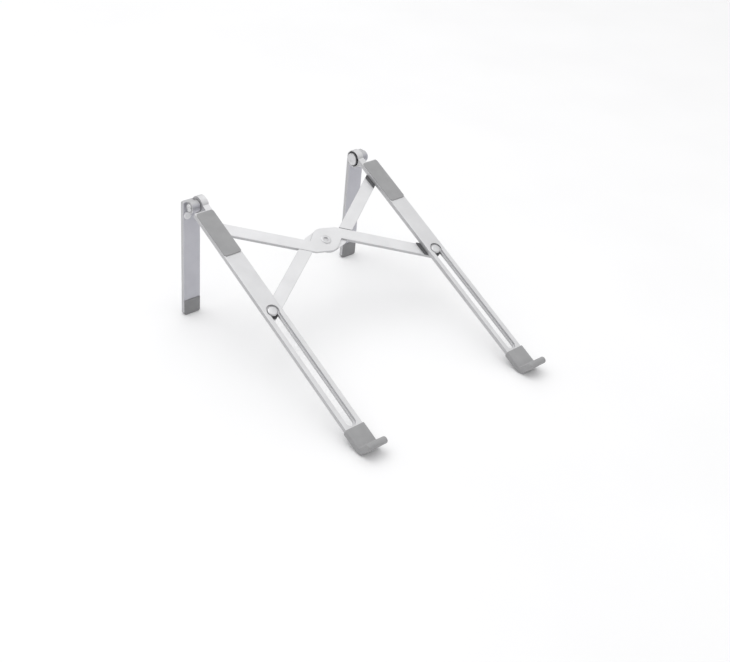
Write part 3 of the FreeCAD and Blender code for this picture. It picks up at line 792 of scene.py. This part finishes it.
low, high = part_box("hinge_pin_left")
hingeTree = turnedTree("hingePinTree", hingePinProfile(turned, high.x - low.x), finishes["rivet_steel"])
low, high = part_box("hinge_nut_left")
nutTree = turnedTree("hingeNutTree", nutProfile(turned, (high.y - low.y) / 2, high.x - low.x),
                     finishes[slotOfNode["hinge_nut_left"]])
low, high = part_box("leg_stop_left")
buttonTree = turnedTree("stopButtonTree", buttonProfile(turned, (high.x - low.x) / 2, high.y - low.y),
                        finishes["stop_nylon"])
outFront = Vector((0, -1, 0)).to_track_quat("Z", "Y")
for side, sign in sides.items():
    outSide = Vector((sign, 0, 0)).to_track_quat("Z", "Y")
    for name, tree, node in (("hingePin_", hingeTree, "hinge_pin_"), ("hingeNut_", nutTree, "hinge_nut_")):
        low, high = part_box(node + side)
        innerX = high.x if sign < 0 else low.x
        spot = (innerX, (low.y + high.y) / 2, (low.z + high.z) / 2)
        turnedPiece(name + side, tree, [spot], outSide, node + side)
    low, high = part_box("leg_stop_" + side)
    spot = ((low.x + high.x) / 2, high.y, (low.z + high.z) / 2)
    turnedPiece("stopButton_" + side, buttonTree, [spot], outFront, "leg_stop_" + side)
print("turned parts made")


# floor, light and camera
floorLook = {
    "dark": (0.90, 0.90, 0.905), "light": (0.92, 0.92, 0.925), "rough": 0.9,
    "cloudScale": 6,
    "halfWidth": 6,
    "gap": 0.0002,      # under the feet
}
floorMat, floorTree, floorShader = newMaterial("paleFloor")
floorGrain = grain(floorTree, floorLook["cloudScale"], 2, (-700, 300))
floorTint = tint(floorTree, floorGrain.outputs["Fac"], floorLook["dark"], floorLook["light"], (-400, 300))
floorTree.links.new(floorTint, floorShader.inputs["Base Color"])
floorShader.inputs["Roughness"].default_value = floorLook["rough"]
floorMesh = bmesh.new()
bmesh.ops.create_grid(floorMesh, x_segments=2, y_segments=2, size=floorLook["halfWidth"])
floorData = bpy.data.meshes.new("floor")
floorMesh.to_mesh(floorData)
floorMesh.free()
floor = bpy.data.objects.new("floor", floorData)
floorData.materials.append(floorMat)
bpy.context.scene.collection.objects.link(floor)
floor.location.z = cadBox[0][2] - floorLook["gap"]

lights = {
    "zenith": 1.1, "zenithFrom": 0.8,       # sky strength, full from this height of the view up
    "horizon": 0.3,
    "aim": (0, 0, 0.05),
    # place, width, depth, power
    "overhead": ((-0.35, 0.35, 1.5), 1.3, 1.3, 5.5),
    "backFill": ((0.9, 1.3, 0.9), 1.0, 0.7, 0.8),
    "frontFill": ((-1.2, -1.0, 0.8), 1.0, 0.7, 0.4),
}
world = bpy.data.worlds.new("studio")
world.use_nodes = True
sky = world.node_tree
skyCoords = addNode(sky, "ShaderNodeTexCoord", (-800, 0))
skySplit = addNode(sky, "ShaderNodeSeparateXYZ", (-600, 0))
sky.links.new(skyCoords.outputs["Generated"], skySplit.inputs[0])
skyGlow = spread(sky, skySplit.outputs["Z"], lights["horizon"], lights["zenith"], (-400, 0),
                 0.0, lights["zenithFrom"])
sky.links.new(skyGlow, sky.nodes["Background"].inputs["Strength"])
sky.nodes["Background"].inputs["Color"].default_value = (1, 1, 1, 1)
bpy.context.scene.world = world
for name in ("overhead", "backFill", "frontFill"):
    place, width, depth, power = lights[name]
    lamp = bpy.data.lights.new(name, "AREA")
    lamp.shape = "RECTANGLE"
    lamp.size = width
    lamp.size_y = depth
    lamp.energy = power
    box = bpy.data.objects.new(name, lamp)
    box.location = place
    box.rotation_euler = (Vector(lights["aim"]) - Vector(place)).to_track_quat("-Z", "Y").to_euler()
    bpy.context.scene.collection.objects.link(box)

cameraLook = {
    "azimuth": math.radians(-44.719),
    "elevation": math.radians(33.301),
    "roll": math.radians(5.661),
    "distance": 0.9042,
    "target": (-0.0270, -0.03273, 0.040),
    "lens": 55.36,
    "sensor": 36,
}
azimuth = cameraLook["azimuth"]
elevation = cameraLook["elevation"]
back = Vector((math.sin(azimuth) * math.cos(elevation), -math.cos(azimuth) * math.cos(elevation),
               math.sin(elevation)))
level = Vector((0, 0, 1)).cross(back).normalized()
upright = back.cross(level)
turn = Matrix((level, upright, back)).transposed() @ Matrix.Rotation(cameraLook["roll"], 3, "Z")
stand = Vector(cameraLook["target"]) + back * cameraLook["distance"]
lensData = bpy.data.cameras.new("camera")
lensData.sensor_fit = "HORIZONTAL"
lensData.sensor_width = cameraLook["sensor"]
lensData.lens = cameraLook["lens"]
camera = bpy.data.objects.new("camera", lensData)
camera.matrix_world = Matrix.Translation(stand) @ turn.to_4x4()
bpy.context.scene.collection.objects.link(camera)
bpy.context.scene.camera = camera
bpy.context.scene.view_settings.view_transform = "Standard"
print("floor, light and camera set")
